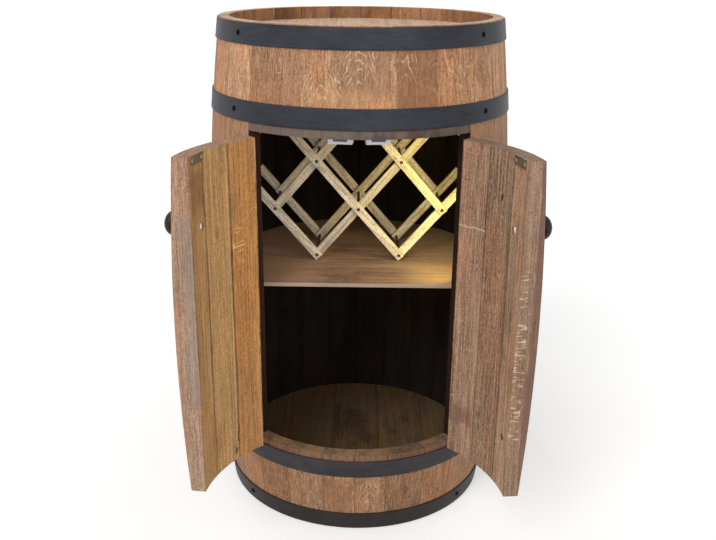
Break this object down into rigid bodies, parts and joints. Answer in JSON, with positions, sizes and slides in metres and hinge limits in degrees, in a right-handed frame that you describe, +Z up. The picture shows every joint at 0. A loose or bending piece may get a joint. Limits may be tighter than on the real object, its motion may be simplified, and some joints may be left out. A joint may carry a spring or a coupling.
{
  "type": "barrel bar cabinet",
  "caption": "Upright oak barrel made into a bar cabinet: two hinged stave doors with knobs and magnetic catches, a shelf, a lattice wine rack and a light strip.",
  "frame": {"origin": "on the floor, on the barrel's axis, at the centre of the ring of stave ends", "axes": "+Z up along the barrel's axis; the doors' opening faces -Y; +X is to the right of a person who stands in front of it"},
  "size_m": [0.524, 0.5953, 0.8],
  "materials": {
    "oak_staves": "old wine-barrel oak, satin",
    "oak_left_door": "old wine-barrel oak, satin",
    "oak_right_door": "old wine-barrel oak, satin",
    "oak_heads": "sanded oak",
    "hoop_black": "matte black",
    "rivet_steel": "worn",
    "screw_steel": "zinc plated",
    "hinge_steel": "aged zinc",
    "strike_steel": "aged zinc",
    "catch_plastic": "white, slightly translucent",
    "magnet": "ferrite",
    "knob_wood": "dark turned wood, satin",
    "softwood": "planed",
    "shelf_wood": "dark stain, satin",
    "rack_pine": "planed pine",
    "rack_pin": "dark dowel",
    "battery_box": "black",
    "led_strip": "warm white light strip"
  },
  "bodies": {
    "cabinet": {"back_staves": "oak_staves", "bottom_head": "oak_heads", "bottom_hoop": "hoop_black", "catch_magnets": "magnet", "catch_pole_plates": "hinge_steel", "catch_rail": "softwood", "catch_screws": "screw_steel", "cleat_screws": "screw_steel", "hoop_rivets": "rivet_steel", "jamb_hinge_screws": "screw_steel", "led_battery_box": "battery_box", "led_strip": "led_strip", "left_catch_housing": "catch_plastic", "left_hinge_pins": "hinge_steel", "left_jamb_hinge_leaves": "hinge_steel", "left_stave_1": "oak_staves", "left_stave_2": "oak_staves", "left_stave_3": "oak_staves", "left_stave_4": "oak_staves", "left_stave_5": "oak_staves", "lower_front_staves": "oak_staves", "lower_hoop": "hoop_black", "rack_front_falling_slats": "rack_pine", "rack_front_rising_slats": "rack_pine", "rack_pins": "rack_pin", "rack_rear_falling_slats": "rack_pine", "rack_rear_rising_slats": "rack_pine", "right_catch_housing": "catch_plastic", "right_hinge_pins": "hinge_steel", "right_jamb_hinge_leaves": "hinge_steel", "right_stave_1": "oak_staves", "right_stave_2": "oak_staves", "right_stave_3": "oak_staves", "right_stave_4": "oak_staves", "right_stave_5": "oak_staves", "shelf": "shelf_wood", "shelf_cleats": "softwood", "top_head": "oak_heads", "top_hoop": "hoop_black", "upper_front_staves": "oak_staves", "upper_hoop": "hoop_black"},
    "left_door": {"left_door_screws": "screw_steel", "left_hinge_board": "oak_left_door", "left_hinge_leaves": "hinge_steel", "left_knob": "knob_wood", "left_knob_bolt": "screw_steel", "left_meeting_board": "oak_left_door", "left_middle_board": "oak_left_door", "left_strike_plate": "strike_steel"},
    "right_door": {"right_door_screws": "screw_steel", "right_hinge_board": "oak_right_door", "right_hinge_leaves": "hinge_steel", "right_knob": "knob_wood", "right_knob_bolt": "screw_steel", "right_meeting_board": "oak_right_door", "right_middle_board": "oak_right_door", "right_strike_plate": "strike_steel"}
  },
  "joints": [
    {"name": "left_door_hinge", "type": "hinge", "parent": "cabinet", "child": "left_door", "pos_m": [-0.16742, -0.18566, 0.397], "axis": [0, 0, -1], "range_deg": [-97.3, 72.7]},
    {"name": "right_door_hinge", "type": "hinge", "parent": "cabinet", "child": "right_door", "pos_m": [0.16742, -0.18566, 0.397], "axis": [0, 0, 1], "range_deg": [-96.5, 73.5]}
  ]
}
